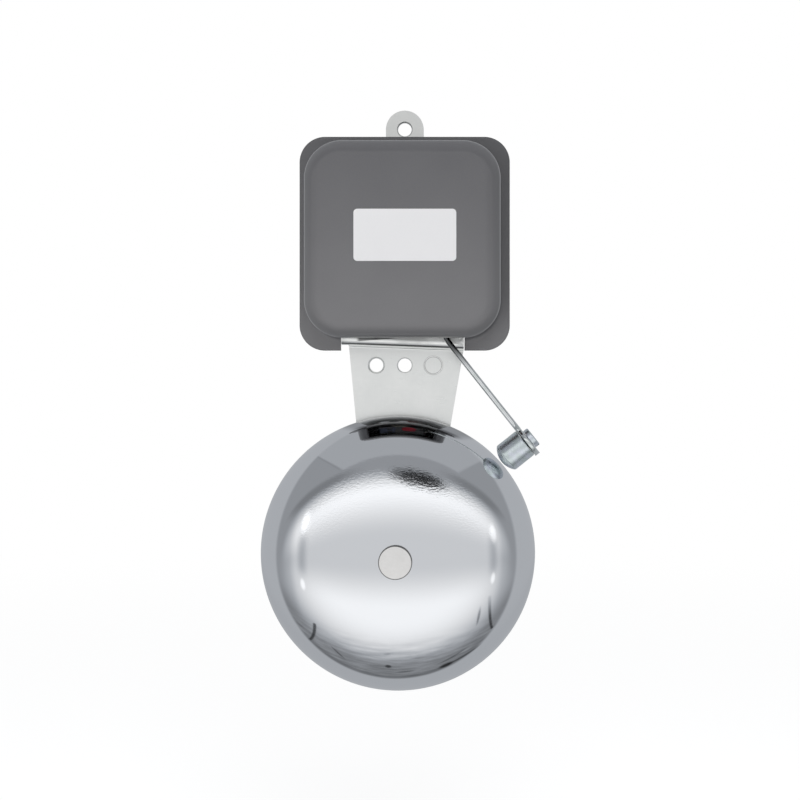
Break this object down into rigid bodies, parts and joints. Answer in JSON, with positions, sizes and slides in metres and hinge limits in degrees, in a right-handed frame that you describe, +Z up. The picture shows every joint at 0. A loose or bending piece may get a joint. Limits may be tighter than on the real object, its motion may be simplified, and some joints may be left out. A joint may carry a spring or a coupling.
{
  "type": "electric bell",
  "caption": "Wall-mounted mains bell: painted steel box with coil and armature, base plate with a tongue that carries a domed gong, and a wire hammer beside it.",
  "frame": {"origin": "midpoint between the two wall-screw holes, on the wall plane at the back of the base plate", "axes": "+Z up along the line of the two screw holes, +X to the right seen from the front, -Y out of the wall towards the viewer"},
  "size_m": [0.0758, 0.0235, 0.159],
  "materials": {
    "zinc_plate": "bright zinc plating, satin, faint rolling marks",
    "cover_paint": "grey stoving paint, semi-matt",
    "label_film": "blank off-white sticker",
    "gong_chrome": "polished chrome plate",
    "turned_steel": "turned and zinc plated",
    "fibre": "vulcanised fibre",
    "rivet_metal": "plain, matt",
    "zinc_hammer": "blue-white zinc plating",
    "zinc_wire": "bright zinc-plated wire",
    "soft_iron": "zinc-plated soft iron",
    "spring_steel": "rolled spring strip",
    "bobbin_plastic": "natural nylon",
    "copper_wire": "enamelled copper wire",
    "red_tape": "polyester tape",
    "terminal_plastic": "white nylon",
    "terminal_brass": "plain brass",
    "lead_insulation": "red PVC insulation",
    "grommet_rubber": "black rubber"
  },
  "bodies": {
    "bell_frame": {"base_plate": "zinc_plate", "knockout_disc": "zinc_plate", "gong": "gong_chrome", "gong_post": "turned_steel", "gong_washer": "fibre", "gong_rivet": "rivet_metal", "leaf_spring": "spring_steel", "spring_frame_rivets": "rivet_metal", "yoke": "soft_iron", "core": "soft_iron", "coil_bobbin": "bobbin_plastic", "coil_winding": "copper_wire", "coil_tape": "red_tape", "frame_rivets": "rivet_metal", "terminal_block": "terminal_plastic", "terminal_clamps": "terminal_brass", "terminal_screws": "zinc_hammer", "block_screw": "zinc_hammer", "coil_lead_upper": "lead_insulation", "coil_lead_lower": "lead_insulation", "cable_grommet": "grommet_rubber"},
    "hammer_arm": {"armature": "soft_iron", "spring_armature_rivets": "rivet_metal", "hammer_wire": "zinc_wire", "hammer_head": "zinc_hammer", "hammer_screw": "zinc_hammer"},
    "cover_shell": {"cover": "cover_paint", "label": "label_film"}
  },
  "joints": [
    {"name": "armature_hinge", "type": "hinge", "parent": "bell_frame", "child": "hammer_arm", "pos_m": [-0.0135, -0.013, -0.0126], "axis": [0, -1, 0], "range_deg": [-1.2, 3], "stiffness_Nm_per_rad": 0.8, "springref_deg": 0.18, "deforming": ["leaf_spring"]},
    {"name": "cover_pull", "type": "slide", "parent": "bell_frame", "child": "cover_shell", "axis": [0, -1, 0], "range_m": [0, 0.03]}
  ]
}
